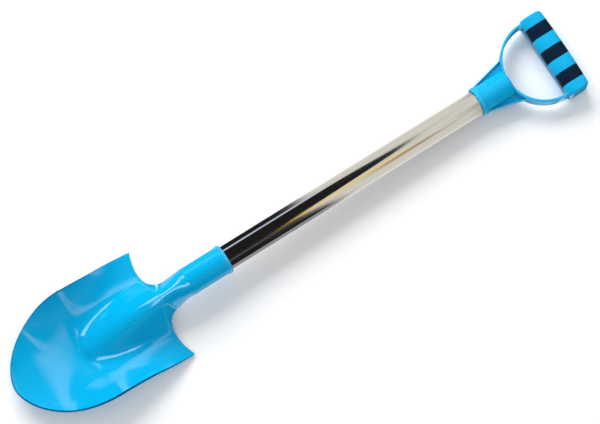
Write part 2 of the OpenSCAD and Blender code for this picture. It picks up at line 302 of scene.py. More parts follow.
def add_turned(shell: Shell, profile: Array, edge_light: Array) -> None:
    """Adds a surface of revolution with its own painted edge highlight along the profile.

    Args:
        shell: Where the surface goes.
        profile: Points of [distance along the shaft, radius].
        edge_light: Mask of the painted edge highlight at each profile point.
    """
    grid = turned(profile)
    shell.grid(grid, wrap=True, edge=np.broadcast_to(edge_light[:, None], grid.shape[:2]))


@dataclass(frozen=True)
class ShaftFrame:
    """Carries points from the shaft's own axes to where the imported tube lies.

    The tube of length L and diameter D leans by an angle a, so its box is L cos a + D sin a
    long and L sin a + D cos a high. Solving the two gives the angle.
    """

    tube_middle: float = 384.0

    def lean(self) -> float:
        """Angle in radians by which the shaft slopes down towards the grip.

        Returns:
            The angle.
        """
        lo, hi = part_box("shaft_tube")
        span, width, height = (hi[i] - lo[i] for i in range(3))
        angle = 0.0
        for _ in range(12):
            length = (span - width * math.sin(angle)) / math.cos(angle)
            angle = math.asin((height - width * math.cos(angle)) / length)
        return angle

    def matrix(self) -> Matrix:
        """Matrix from millimetres in the shaft's axes to metres in the row frame.

        Returns:
            The matrix.
        """
        lo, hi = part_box("shaft_tube")
        middle = (Vector(lo) + Vector(hi)) / 2.0
        turn = Matrix.Rotation(self.lean(), 4, "Y")
        shift = Matrix.Translation((-self.tube_middle * MM, 0.0, 0.0))
        return Matrix.Translation(middle) @ turn @ shift @ Matrix.Scale(MM, 4)

    def place(self, points: Array) -> Array:
        """Points in the row frame, in metres, from points in millimetres along the shaft."""
        m = np.array(self.matrix())
        return points.reshape(-1, 3) @ m[:3, :3].T + m[:3, 3]


LIE = ShaftFrame()


# ---- blade ---------------------------------------------------------------------------------


@dataclass
class Blade:
    """Moulded blade: dish, raised frog, neck and socket, with a keel under the frog."""

    nose_len: float = 84.0
    half_width: float = 59.5
    nose_power: float = 1.7
    shoulder_flare: float = 1.5
    notch_x: float = 164.4
    notch_y: float = 37.0
    notch_curve: float = 0.0115
    wall: float = 2.7
    skin: float = 0.35
    skin_start: float = 180.0
    skin_run: float = 12.0
    rim_bulge: float = 0.28
    # Where the painted highlight on the rim fades out, before the socket.
    highlight_end: float = 168.0
    highlight_fade: float = 12.0
    row_crowding: float = 0.35
    flare_x: float = 115.0
    flare_len: float = 38.0
    tip_drop: float = 11.0
    dish_depth: float = 10.5
    floor_fall: float = 0.035
    rim_top: float = 1.5
    rim_fall: float = 26.5
    dish_run: float = 25.0
    rim_middle: float = 51.0
    rim_run: float = 9.7
    rim_fall_len: float = 86.0
    rim_fall_power: float = 1.35
    rim_soft: float = 0.12
    belly_soft: float = 0.15
    dish_power: float = 2.1
    frog_start: float = 72.0
    frog_half: float = 28.3
    frog_end: float = 197.0
    frog_growth: float = 32.0
    frog_blunt: float = 0.75
    frog_least: float = 0.4
    nose_lead: float = 3.0
    nose_fade: float = 14.0
    crest_lag: float = 0.02
    crest_soft: float = 0.07
    crest_power: float = 1.4
    valley: float = 7.5
    widest_fillet: float = 1.2
    foot_start: float = 163.0
    foot_fillet: float = 0.5
    fillet_start: float = 162.0
    fillet_fade: float = 20.0
    neck_start: float = 160.0
    neck_blend: float = 31.0
    neck_side: float = 18.0
    neck_side_blend: float = 12.0
    neck_lead: float = 20.0
    neck_soft: float = 3.0
    neck_half: float = 14.2
    neck_root: float = 164.5
    neck_flare: float = 12.9
    neck_taper: float = 6.0
    neck_meets_notch: float = 23.8
    sheet_end: float = 200.0
    socket_r: float = 14.5
    socket_front: float = 190.0
    socket_mouth: float = 243.7
    bead_r: float = 15.5
    bead_len: float = 5.6
    bead_step: float = 1.7
    bore_r: float = 12.55
    mouth_ease: float = 0.3
    under_sheet: float = 0.7
    bore_front: float = 192.5
    rib_t: float = 2.0
    keel_start: float = 128.0
    keel_deep: float = 165.0
    keel_end: float = 192.0
    sink: float = 0.3
    sink_run: float = 11.0
    columns: int = 108
    rows: int = 168

    def nose_edge(self, y: Array) -> Array:
        """Where the nose's outline crosses a column at distance y from the centreline."""
        share = np.minimum(1.0, np.abs(y) / self.half_width) ** self.nose_power
        return self.nose_len * (1.0 - np.sqrt(np.maximum(0.0, 1.0 - share)))

    def frog_width(self, x: Array) -> Array:
        """Half-width of the frog, and past the notches of the neck: two exponentials.

        Args:
            x: Distances from the tip.

        Returns:
            Half-widths.
        """
        run = np.maximum(x - self.frog_start, 0.0) + self.frog_least
        grown = self.frog_half * (1.0 - np.exp(-run / self.frog_growth)) ** self.frog_blunt
        drawn_in = np.exp(-np.maximum(x - self.neck_root, -self.neck_lead) / self.neck_taper)
        necked = self.neck_half + self.neck_flare * drawn_in
        return grown - soft_ramp(grown - necked, self.neck_soft)

    def floor_z(self, x: Array) -> Array:
        """Height of the dish's floor: an exponential fall from the tip and a slight slope."""
        fall = self.dish_depth * (1.0 - np.exp(-x / self.dish_run))
        return -self.tip_drop - fall - self.floor_fall * x

    def rim_z(self, x: Array) -> Array:
        """Height of the rim: up by a logistic step, then down by a power with a soft start.

        Args:
            x: Distances from the tip.

        Returns:
            Heights above the shaft's axis.
        """
        rise = 1.0 / (1.0 + np.exp(-(x - self.rim_middle) / self.rim_run))
        past = soft_ramp((x - self.nose_len) / self.rim_fall_len, self.rim_soft)
        fall = self.rim_fall * past**self.rim_fall_power
        return -self.tip_drop + (self.tip_drop + self.rim_top) * rise - fall

    def belly(self, x: Array) -> Array:
        """Half-width over which the dish deepens: the outline's, turning into the sides softly.

        Args:
            x: Distances from the tip.

        Returns:
            Half-widths.
        """
        soft = self.belly_soft
        u = soft_ramp(1.0 - x / self.nose_len, soft) / soft_ramp(np.asarray(1.0), soft)
        return self.half_width * np.clip(1.0 - u * u, 0.0, 1.0) ** (1.0 / self.nose_power)

    def crest_z(self, x: Array) -> Array:
        """Height of the frog's crest: 1 - (1 - u)^power of the way up, with a softened start.

        Args:
            x: Distances from the tip.

        Returns:
            Heights above the shaft's axis.
        """
        u = (x - self.frog_start) / (self.frog_end - self.frog_start)
        whole = soft_ramp(np.asarray(1.0 - self.crest_lag), self.crest_soft)
        u = np.clip(soft_ramp(u - self.crest_lag, self.crest_soft) / whole, 0.0, 1.0)
        start = self.floor_z(np.asarray(self.frog_start))
        return start + (self.socket_r - start) * (1.0 - (1.0 - u) ** self.crest_power)

    def foot_z(self, x: Array) -> Array:
        """Height of the neck's two sides as they rise to the socket's middle."""
        run = (x - self.foot_start) / (self.frog_end - self.foot_start)
        return self.floor_z(np.asarray(self.foot_start)) * (1.0 - ease(run))

    def surface_z(self, x: Array, y: Array) -> Array:
        """Height of the blade's upper surface.

        The dish is floor + (rim - floor) (|y| / half-width)^power. The frog adds its height
        times 1 - v^2, where v is the share of its half-width, softened into a fillet in the
        valley. Past the notches this blends into half an ellipse, which ends as the socket's
        top.

        Args:
            x: Distance from the tip.
            y: Distance from the centreline.

        Returns:
            Heights above the shaft's axis.
        """
        across = np.minimum(1.1, np.abs(y) / np.maximum(self.belly(x), 0.01))
        dish = mix(self.floor_z(x), self.rim_z(x), across**self.dish_power)
        width = self.frog_width(x)
        v = np.abs(y) / width
        fillet = np.minimum(self.widest_fillet, 2.0 * self.valley / width)
        share = soft_ramp(1.0 - v * v, fillet) / soft_ramp(np.ones_like(v), fillet)
        nose = glide((x - self.frog_start + self.nose_lead) / self.nose_fade)
        height = np.maximum(0.0, self.crest_z(x) - self.floor_z(x)) * nose
        raised = dish + height * share
        foot = self.foot_fillet * (1.0 - glide((x - self.fillet_start) / self.fillet_fade))
        bow = np.sqrt(soft_ramp(1.0 - v * v, foot))
        arch = self.foot_z(x) + (self.crest_z(x) - self.foot_z(x)) * bow
        necking = glide((x - self.neck_start) / self.neck_blend)
        inside = 1.0 - glide((np.abs(y) - self.neck_side) / self.neck_side_blend)
        return mix(raised, arch, necking * inside)

    def patch(self, columns: Array, rows: Array, back: bool) -> Array:
        """Grid of surface points for some of the sheet's columns.

        Ahead of the neck's root a column keeps its distance from the centreline. Behind it the
        columns draw together in proportion to the neck's half-width.

        Args:
            columns: Distances from the centreline.
            rows: Shares of the way from the front to the back of the patch.
            back: Whether this is the part behind the neck's root.

        Returns:
            Points, row by row.
        """
        y, s = columns[None, :], rows[:, None]
        root = self.root_x
        if back:
            x = np.broadcast_to(mix(root, self.sheet_end, s), (len(rows), len(columns)))
            y = y * self.frog_width(x) / self.neck_meets_notch
        else:
            end = self.notch_x + self.notch_curve * (np.abs(y) - self.notch_y) ** 2
            end = np.where(np.abs(y) > self.neck_meets_notch + 1e-6, end, root)
            x = mix(self.nose_edge(y), end, s)
            y = np.broadcast_to(y, x.shape)
        flare = self.shoulder_flare * ease((x - self.flare_x) / self.flare_len)
        flare = flare * (np.abs(y) / self.half_width) ** 4
        z = self.surface_z(x, y)
        sunk = self.sink * ease((x - self.sheet_end) / self.sink_run + 1.0)
        sunk = sunk * np.clip(z / 4.0 + 0.2, 0.0, 1.0)
        return np.stack([x, y + np.sign(y) * flare, z - sunk], axis=-1)

    @property
    def root_x(self) -> float:
        """Where the neck's side meets the notch."""
        reach = (self.neck_meets_notch - self.neck_half) / self.neck_flare
        return self.neck_root - self.neck_taper * math.log(reach)

    def sheet_points(self) -> tuple[Array, Array]:
        """Points and quads of the whole upper surface, in four patches that share their edges.

        Returns:
            The points, and rows of four indices.
        """
        q = np.linspace(-1.0, 1.0, self.columns)
        inner = self.neck_meets_notch * np.sin(q * math.pi / 2.0)
        p = np.linspace(0.0, 1.0, self.columns // 3)
        outer = mix(self.neck_meets_notch, self.half_width, mix(p, 1.0 - (1.0 - p) ** 2.2, 0.7))
        s = np.linspace(0.0, 1.0, self.rows)
        front = mix(s, s * (2.0 - s), self.row_crowding)
        back = np.linspace(0.0, 1.0, self.rows // 3)
        patches = (
            self.patch(inner, front, False),
            self.patch(inner, back, True),
            self.patch(outer, front, False),
            self.patch(-outer[::-1], front, False),
        )
        sheet = Shell()
        for points in patches:
            sheet.grid(points)
        return weld(np.concatenate(sheet.points), np.concatenate(sheet.faces))

    def sheet_wall(self, x: Array) -> Array:
        """Wall thickness, thinned to a skin where the sheet lies over the socket."""
        return mix(self.wall, self.skin, ease((x - self.skin_start) / self.skin_run))

    def add_sheet(self, shell: Shell) -> None:
        """Adds the sheet: two surfaces joined by a half-round rim, which is lightened as a painted
        highlight.

        The rim's points are the middle of the wall, plus half the wall along the normal times
        the cosine of an angle, plus a bulge along the outward direction times its sine.

        Args:
            shell: Where the surface goes.
        """
        top, quads = self.sheet_points()
        n = vertex_normals(top, quads)
        n *= np.where((n * [0.0, 0.0, 1.0]).sum(axis=1, keepdims=True) < 0.0, -1.0, 1.0)
        wall = self.sheet_wall(top[:, :1])
        border = border_loop(quads)
        p, m, t = top[border], n[border], wall[border]
        ahead = np.roll(p, -1, axis=0) - np.roll(p, 1, axis=0)
        out = np.cross(ahead, m)
        out /= np.maximum(np.linalg.norm(out, axis=1, keepdims=True), 1e-9)
        tip = int(np.argmin(p[:, 0]))
        out *= -1.0 if out[tip, 0] > 0.0 else 1.0
        angles = np.linspace(0.0, math.pi, 9)[1:-1]
        middle = p - m * t / 2.0
        rings = [p] + [
            middle + m * t / 2.0 * math.cos(a) + out * t * self.rim_bulge * math.sin(a)
            for a in angles
        ]
        rings.append(p - m * t)
        # The rim and the sheet's border are lightened towards the pale colour as a painted
        # highlight, fading out before the socket.
        blade_rim = 1.0 - ease((top[:, 0] - self.highlight_end) / self.highlight_fade)
        near = np.zeros(len(top))
        near[border] = 0.5
        shell.add(top, quads, near * blade_rim)
        shell.add(top - n * wall, quads, near * blade_rim)
        edge_light = np.broadcast_to(blade_rim[border], (len(rings), len(border)))
        shell.grid(np.stack(rings), wrap=True, edge=edge_light)

    def bead(self, end: float) -> Array:
        """Profile of the bead: a low step, then a tall round ring at the mouth.

        Args:
            end: Place of the mouth along the shaft.

        Returns:
            Points of [distance along the shaft, radius].
        """
        step, ring = self.bead_step, self.bead_len - self.bead_step
        height = self.bead_r - self.socket_r
        low = np.radians(np.linspace(180.0, 60.0, 7))
        tall = np.radians(np.linspace(165.0, -10.0, 15))
        first = [end - ring - step / 2 + np.cos(low) * step / 2, np.sin(low) * height * 0.45]
        last = [end - ring / 2 + np.cos(tall) * ring / 2, np.sin(tall) * height]
        profile = np.concatenate([np.stack(first, axis=1), np.stack(last, axis=1)])
        return profile + [0.0, self.socket_r]

    def add_socket(self, shell: Shell) -> None:
        """Adds the round socket: its outside with the bead, its bore and its closed front.

        Args:
            shell: Where the surface goes.
        """
        front = np.array([[self.socket_front, 0.0], [self.socket_front, 10.0]])
        nose = arc(self.socket_front + 1.5, 11.9, 1.1, 180, 90, 8)
        x = np.linspace(self.socket_front + 2.0, 206.0, 40)
        under = mix(self.under_sheet, 0.0, ease((x - self.socket_front) / 9.0))
        outside = np.stack([x, self.socket_r - under], axis=1)
        e = self.mouth_ease
        mouth = arc(self.socket_mouth - e, self.bore_r + e, e, 0, -90, 5)
        floor = np.array([[self.bore_front, self.bore_r], [self.bore_front, 0.0]])
        bead = self.bead(self.socket_mouth)
        profile = np.concatenate([front, nose, outside, bead, mouth, floor])
        # The bead's crest is lightened towards the pale colour as a painted highlight.
        add_turned(shell, profile, ease((profile[:, 1] - self.socket_r - 0.5) / 0.5) * 0.7)

    def add_keel(self, shell: Shell) -> None:
        """Adds the keel: a plate on the centreline between the frog and its open foot.

        Args:
            shell: Where the surface goes.
        """
        x = np.linspace(self.keel_start, self.keel_end, 60)
        high = self.surface_z(x, np.zeros_like(x)) - self.wall / 2.0
        deep = self.floor_z(np.asarray(self.foot_start)) + 1.0
        ahead = (x - self.keel_start) / (self.keel_deep - self.keel_start)
        behind = (x - self.keel_deep) / (self.keel_end - self.keel_deep)
        rise = mix(deep, 1.5 - self.socket_r, behind)
        low = np.where(x < self.keel_deep, mix(high[0], deep, np.clip(ahead, 0.0, 1.0)), rise)
        half, r = self.rib_t / 2.0, 0.4
        loop = round_rect(-half, half, 0.0, 1.0, 0.01, 2)
        y = np.broadcast_to(loop[:, 0], (len(x), len(loop)))
        tuck = r * np.abs(loop[:, 0] / half)
        z = low[:, None] + tuck + (high - low)[:, None] * loop[:, 1]
        grid = np.stack([np.broadcast_to(x[:, None], y.shape), y, z], axis=-1)
        add_capped(shell, grid)

    def add_gate_marks(self, shell: Shell) -> None:
        """Adds three shallow domes left by the mould on the frog's crest.

        Args:
            shell: Where the surface goes.
        """
        for x, y, r in ((118.7, -3.3, 0.9), (130.7, -2.7, 0.8), (133.3, -6.9, 0.8)):
            level = float(self.surface_z(np.asarray(x), np.asarray(y)))
            rise = np.linspace(0.0, math.pi, 9)
            around = np.linspace(0.0, 2.0 * math.pi, 20, endpoint=False)
            px = x + r * np.sin(rise)[:, None] * np.cos(around)
            py = y + r * np.sin(rise)[:, None] * np.sin(around)
            pz = level + 0.32 * np.cos(rise)[:, None] + (px - x) * 0.3
            shell.grid(np.stack([px, py, pz], axis=-1), wrap=True)

    def build(self) -> bpy.types.Object:
        """Builds the whole moulding as one piece.

        Returns:
            The blade.
        """
        shell = Shell()
        self.add_sheet(shell)
        self.add_socket(shell)
        self.add_keel(shell)
        self.add_gate_marks(shell)
        return shell.build("blade_moulding")


def add_capped(shell: Shell, grid: Array, edge: Array | float = 0.0) -> None:
    """Adds a tube of loops closed at both ends by fans to each end loop's middle.

    Args:
        shell: Where the surface goes.
        grid: Rows of loops; its columns wrap.
        edge: Mask of the painted edge highlight at each point, or one value for all.
    """
    first = np.broadcast_to(grid[0].mean(axis=0), grid[:1].shape)
    last = np.broadcast_to(grid[-1].mean(axis=0), grid[:1].shape)
    closed = np.concatenate([first, grid, last])
    if isinstance(edge, np.ndarray):
        edge = np.concatenate([edge[:1], edge, edge[-1:]])
    shell.grid(closed, wrap=True, edge=edge)


# ---- shaft ---------------------------------------------------------------------------------


@dataclass
class Shaft:
    """Thin polished tube with eased ends."""

    start: float = 194.0
    length: float = 380.0
    radius: float = 12.5
    wall: float = 0.6
    eased: float = 0.2
    rows: int = 60
    segments: int = 256

    def build(self) -> bpy.types.Object:
        """Builds the tube as one closed turned shell.

        Returns:
            The tube.
        """
        end = self.start + self.length
        inner = self.radius - self.wall
        top = self.radius - self.eased
        outside = np.concatenate(
            [
                arc(self.start + self.eased, top, self.eased, 180, 90, 5),
                arc(end - self.eased, top, self.eased, 90, 0, 5),
            ]
        )
        s = ease(np.linspace(0.0, 1.0, self.rows)[1:-1])
        along = mix(self.start + self.eased, end - self.eased, s)
        barrel = np.stack([along, np.full(len(along), self.radius)], axis=1)
        near = [[self.start, inner]], outside[:5], barrel, outside[5:], [[end, inner]]
        profile = np.concatenate(near)
        shell = Shell()
        shell.grid(turned(np.concatenate([profile, profile[:1]]), self.segments), wrap=True)
        return shell.build("polished_tube")


# ---- D-grip --------------------------------------------------------------------------------


class PadPlace(Enum):
    """The three soft pads, by the step of each from the middle of the bar."""

    LEFT = 1
    CENTRE = 0
    RIGHT = -1


@dataclass
class Grip:
    """Moulded D-grip: socket, webs, loop and the hollow-backed bar with its soft pads."""

    mouth: float = 542.0
    socket_len: float = 39.0
    socket_r: float = 14.3
    bore_r: float = 12.55
    floor: float = 575.5
    bead_r: float = 15.5
    bead_len: float = 5.0
    loop_x: float = 622.0
    loop_r: float = 41.0
    loop_t: float = 2.7
    loop_depth: float = 15.0
    fillet: float = 3.0
    bar_x0: float = 623.0
    bar_w: float = 24.0
    bar_len: float = 91.0
    bar_t: float = 23.0
    bar_bow: float = 1.0
    bar_round: float = 4.0
    shoulder: float = 4.0
    end_round: float = 4.0
    end_ease: float = 1.2
    bar_shell: float = 4.2
    bar_skin: float = 2.4
    bay_count: int = 5
    bay_wall: float = 1.6
    web_t: float = 2.4
    rim_t: float = 1.2
    rim_depth: float = 7.0
    pad_w: float = 13.5
    pad_pitch: float = 27.3
    pad_t: float = 1.8
    pad_gap: float = 0.12
    recess_lip: float = 0.25
    lip_depth: float = 0.06
    drag: float = 0.35
    shoulder_ease: float = 0.7
    band_edge: float = 0.8

    # -- the bar's section, shared by the bar and its pads --

    def section(self, y: float, inset: Array | float = 0.0) -> Array:
        """Loop of the bar's section at a distance y along the bar.

        A rectangle with round corners whose outer side bows as 1 - (2y / length)^2 and whose
        sides draw in along a quarter circle at the bar's two ends.

        Args:
            y: Distance from the middle of the bar.
            inset: How far each point moves inwards along the section's own normal.

        Returns:
            Points [x, z] in an order that runs round the section.
        """
        past = max(0.0, abs(y) - (self.bar_len / 2.0 - self.end_round))
        draw = self.end_round - math.sqrt(max(0.0, self.end_round**2 - past**2))
        past_edge = max(0.0, abs(y) - (self.bar_len / 2.0 - self.end_ease))
        ease_in = self.end_ease - math.sqrt(max(0.0, self.end_ease**2 - past_edge**2))
        bow = self.bar_bow * (1.0 - (2.0 * y / self.bar_len) ** 2)
        x0 = self.bar_x0 + max(draw * self.drag, ease_in)
        x1 = self.bar_x0 + self.bar_w + bow - draw
        half = self.bar_t / 2.0 - ease_in
        loop = self.dense_loop(x0, x1, -half, half)
        ahead = np.roll(loop, -1, axis=0) - np.roll(loop, 1, axis=0)
        n = np.stack([ahead[:, 1], -ahead[:, 0]], axis=1)
        n /= np.linalg.norm(n, axis=1, keepdims=True)
        return loop - n * np.broadcast_to(np.asarray(inset, float).reshape(-1, 1), (len(loop), 1))

    def dense_loop(self, x0: float, x1: float, z0: float, z1: float) -> Array:
        """Round-cornered loop with a double point on both sides at z = 0, where pads end.

        Args:
            x0: Low side along the shaft.
            x1: High side along the shaft.
            z0: Back.
            z1: Front.

        Returns:
            Points [x, z] in an order that runs round the section.
        """
        r, e = self.bar_round, self.shoulder_ease
        gap = 0.02
        return np.concatenate(
            [
                arc(x1 - r, z0 + r, r, -90, 0, 9),
                [[x1, -gap], [x1, gap]],
                arc(x1 - r, z1 - r, r, 0, 90, 9),
                arc(x0 + self.shoulder + 0.5, z1 - e, e, 90, 130, 4),
                arc(x0 + e, z1 - self.shoulder - 0.5, e, 135, 180, 4),
                [[x0, gap], [x0, -gap]],
                arc(x0 + r, z0 + r, r, 180, 270, 9),
            ]
        )

    def pad_mask(self) -> Array:
        """1 for the section's points on the front half, which the pads cover."""
        loop = self.dense_loop(-1.0, 1.0, -self.bar_t / 2.0, self.bar_t / 2.0)
        return (loop[:, 1] > 0.0).astype(float)

    def bar_rows(self) -> list[tuple[float, float]]:
        """Places along the bar and the depth of the pad recess there, in order.

        Returns:
            Pairs of place and depth.
        """
        half, reach = self.bar_len / 2.0, self.end_round
        rows = [(-half + reach * (1.0 - math.cos(a)), 0.0) for a in np.linspace(0, 1.57, 10)]
        for place in sorted(PadPlace, key=lambda p: p.value):
            low = place.value * self.pad_pitch - self.pad_w / 2.0
            high = low + self.pad_w
            lip, step = self.recess_lip, 0.01
            rows += [(low - lip, 0.0), (low, self.lip_depth), (low + step, self.pad_t)]
            rows += [(high - step, self.pad_t), (high, self.lip_depth), (high + lip, 0.0)]
        rows += [(half - reach * (1.0 - math.cos(a)), 0.0) for a in np.linspace(1.57, 0, 10)]
        return rows

    def bar(self) -> bpy.types.Object:
        """Builds the bar and cuts the hollow bays into its back.

        Returns:
            The bar, to be joined to the rest of the moulding.
        """
        mask = self.pad_mask()
        rows = self.bar_rows()
        loops = [self.section(y, depth * mask) for y, depth in rows]
        y = np.array([y for y, _ in rows])
        xz = np.stack(loops)
        across = np.broadcast_to(y[:, None], xz.shape[:2])
        grid = np.stack([xz[..., 0], across, xz[..., 1]], axis=-1)
        shell = Shell()
        add_capped(shell, grid)
        body = shell.build("bar_body")
        bays = Shell()
        pitch = (self.bar_len - 2.0 * self.bar_skin + self.bay_wall) / self.bay_count
        for k in range(self.bay_count):
            y0 = -self.bar_len / 2.0 + self.bar_skin + k * pitch
            self.add_bay(bays, y0, y0 + pitch - self.bay_wall)
        cutter = bays.build("bar_bays")
        cut(body, cutter)
        return body

    def add_bay(self, shell: Shell, y0: float, y1: float) -> None:
        """Adds the solid that one bay is cut by: a drafted block with round corners.

        Args:
            shell: Where the surface goes.
            y0: Low end of the bay.
            y1: High end of the bay.
        """
        x0, x1 = self.bar_x0 + self.bar_shell, self.bar_x0 + self.bar_w - self.bar_shell
        top = self.bar_t / 2.0 - self.bar_shell
        below = -self.bar_t / 2.0 - 1.0
        rows = []
        for z, draw in ((below, 0.0), (top - 1.0, 0.5), (top - 0.3, 0.75), (top, 1.4)):
            loop = round_rect(x0 + draw, x1 - draw, y0 + draw / 2, y1 - draw / 2, 1.0, 6)
            rows.append(np.concatenate([loop, np.full((len(loop), 1), z)], axis=1))
        add_capped(shell, np.stack(rows))

    # -- the other parts of the moulding --

    def add_socket(self, shell: Shell) -> None:
        """Adds the socket: bead, outside, rounded end and bore.

        Args:
            shell: Where the surface goes.
        """
        a = np.linspace(math.pi, 0.0, 15)
        mid = self.mouth + self.bead_len / 2.0
        height = self.bead_r - self.socket_r
        bead = np.stack(
            [mid + np.cos(a) * self.bead_len / 2.0, self.socket_r + np.sin(a) * height], axis=1
        )
        end = self.mouth + self.socket_len
        mouth = arc(self.mouth + 0.3, self.bore_r + 0.3, 0.3, 270, 180, 5)
        shoulder = arc(end - 3.0, self.socket_r - 3.0, 3.0, 90, 10, 12)
        tail = np.array([[end - 0.6, 8.0], [end - 0.6, 0.0]])
        inside = np.array([[self.floor, 0.0], [self.floor, self.bore_r]])
        profile = np.concatenate([inside, mouth, bead, shoulder, tail])
        # The bead's crest is lightened towards the pale colour as a painted highlight.
        add_turned(shell, profile, ease((profile[:, 1] - self.socket_r - 0.6) / 0.5) * 0.6)

    def add_loop(self, shell: Shell) -> None:
        """Adds the loop: a round-edged band carried round the D, with fillets at the bar.

        The inner radius shrinks near the bar by r - sqrt(r^2 - (r - d)^2), a quarter circle.

        Args:
            shell: Where the surface goes.
        """
        a = np.radians(np.linspace(90.0, 270.0, 181))
        centre_x = self.loop_x + np.zeros_like(a)
        runs = np.linspace(self.bar_x0 + 2.0, self.loop_x + 0.2, 8)
        a = np.concatenate([np.full(8, a[0]), a, np.full(8, a[-1])])
        centre_x = np.concatenate([runs, centre_x, runs[::-1]])
        mid_x = centre_x + np.cos(a) * self.loop_r
        d = np.clip(self.bar_x0 - mid_x, 0.0, self.fillet)
        swell = self.fillet - np.sqrt(self.fillet**2 - (self.fillet - d) ** 2)
        half = self.loop_depth / 2.0
        rows = []
        for ang, cx, more in zip(a, centre_x, swell):
            r0, r1 = self.loop_r - more, self.loop_r + self.loop_t
            loop = round_rect(r0, r1, -half, half, self.band_edge, 7)
            x = cx + np.cos(ang) * loop[:, 0]
            y = np.sin(ang) * loop[:, 0]
            rows.append(np.stack([x, y, loop[:, 1]], axis=1))
        grid = np.stack(rows)
        section = round_rect(0.0, self.loop_t, -half, half, self.band_edge, 7)
        # The band's front and back edges are lightened as a painted highlight.
        reach = np.abs(section[:, 1]) / half
        edge_light = np.broadcast_to(ease((reach - 0.93) / 0.07) * 0.5, grid.shape[:2])
        add_capped(shell, grid, np.ascontiguousarray(edge_light))

    def add_webs(self, shell: Shell) -> None:
        """Adds the two webs: a thin plate ruled between two lines, and a rim on its outer one.

        Args:
            shell: Where the surface goes.
        """
        s = np.linspace(0.0, 1.0, 40)[:, None]
        corners = (3.6, 14.2), (44.6, 24.1), (3.6, 11.0), (38.6, 9.0)
        foot, head, inner_foot, inner_head = (np.add(c, (self.mouth, 0.0)) for c in corners)
        outer, inner = mix(foot, head, s), mix(inner_foot, inner_head, s)
        for side in (-1.0, 1.0):
            plate, rim = self.web_t / 2.0, self.rim_depth / 2.0
            self.add_plate(shell, inner, outer - [0.0, 0.4], side, plate, 0.3)
            self.add_plate(shell, outer - [0.0, self.rim_t], outer, side, rim, 0.5)

    def add_plate(
        self, shell: Shell, inner: Array, outer: Array, side: float, half: float, r: float
    ) -> None:
        """Adds a plate whose section between two lines is a round-cornered rectangle.

        Args:
            shell: Where the surface goes.
            inner: Points [x, y] of the inner line.
            outer: Points [x, y] of the outer line.
            side: 1 or -1, the side of the shaft.
            half: Half of the plate's thickness.
            r: Radius of its edges.
        """
        rows = []
        for p, q in zip(inner, outer):
            width = float(np.linalg.norm(q - p))
            loop = round_rect(0.0, width, -half, half, r, 5)
            xy = p + (q - p) * (loop[:, :1] / width)
            rows.append(np.stack([xy[:, 0], xy[:, 1] * side, loop[:, 1]], axis=1))
        add_capped(shell, np.stack(rows))

    def build(self) -> bpy.types.Object:
        """Builds the whole moulding.

        Returns:
            The grip.
        """
        shell = Shell()
        self.add_socket(shell)
        self.add_loop(shell)
        self.add_webs(shell)
        grip = shell.build("grip_moulding")
        join(grip, self.bar())
        return grip

    def pad(self, place: PadPlace) -> bpy.types.Object:
        """Builds one soft pad as a closed shell with eased edges.

        Args:
            place: Which pad.

        Returns:
            The pad.
        """
        y_mid = place.value * self.pad_pitch
        half = self.pad_w / 2.0 - self.pad_gap
        front = np.flatnonzero(self.pad_mask())
        eased = np.array([0.45, 0.2, 0.06, 0.0])
        steps = np.array([0.0, 0.05, 0.2, 0.45])
        across = np.concatenate([-half + steps, half - steps[::-1]])
        depth = np.concatenate([eased, eased[::-1]])
        inside = self.pad_t - 0.1
        places = [*zip(across, depth), (half, inside), (-half, inside)]
        rows = [(y, self.pad_line(y_mid + y, sink, front)) for y, sink in places]
        rows.append(rows[0])
        grid = np.stack(
            [
                np.stack([line[:, 0], np.full(len(line), y_mid + y), line[:, 1]], axis=1)
                for y, line in rows
            ]
        )
        shell = Shell()
        shell.grid(grid)
        for end in (0, -1):
            self.add_fan(shell, grid[:-1, end])
        return shell.build(f"soft_pad_{place.name.lower()}", 40.0)

    def pad_line(self, y: float, sink: float, front: Array) -> Array:
        """Points [x, z] of a pad's surface across the bar, just above the recess's two ends.

        Args:
            y: Distance from the middle of the bar.
            sink: Depth of the line below the bar's own surface.
            front: Indices of the section's points that the pad covers.

        Returns:
            The line's points.
        """
        line = self.section(y, sink)[front]
        line[0, 1] = line[-1, 1] = self.pad_gap
        return line

    def add_fan(self, shell: Shell, rim: Array) -> None:
        """Closes an open end with triangles to the rim's middle.

        Args:
            shell: Where the surface goes.
            rim: Points round the open end.
        """
        count = len(rim)
        points = np.concatenate([rim, rim.mean(axis=0, keepdims=True)])
        i = np.arange(count)
        faces = np.stack([i, (i + 1) % count, np.full(count, count)], axis=1)
        shell.add(points, faces)


def cut(body: bpy.types.Object, cutter: bpy.types.Object) -> None:
    """Takes one solid out of another, and removes the cutting solid.

    Args:
        body: The solid that is cut.
        cutter: The solid that cuts it.
    """
    tool = body.modifiers.new("bays", "BOOLEAN")
    tool.operation = "DIFFERENCE"
    tool.solver = "EXACT"
    tool.object = cutter
    graph = bpy.context.evaluated_depsgraph_get()
    done = bpy.data.meshes.new_from_object(body.evaluated_get(graph))
    body.modifiers.clear()
    body.data = done
    bpy.data.objects.remove(cutter)
    done.shade_smooth()
    done.set_sharp_from_angle(angle=math.radians(32.0))


def join(kept: bpy.types.Object, added: bpy.types.Object) -> None:
    """Adds one object's mesh to another's and removes the first.

    Args:
        kept: The object that stays.
        added: The object whose mesh it takes.
    """
    with bpy.context.temp_override(
        active_object=kept, object=kept, selected_editable_objects=[kept, added]
    ):
        bpy.ops.object.join()


# ---- finishes ------------------------------------------------------------------------------


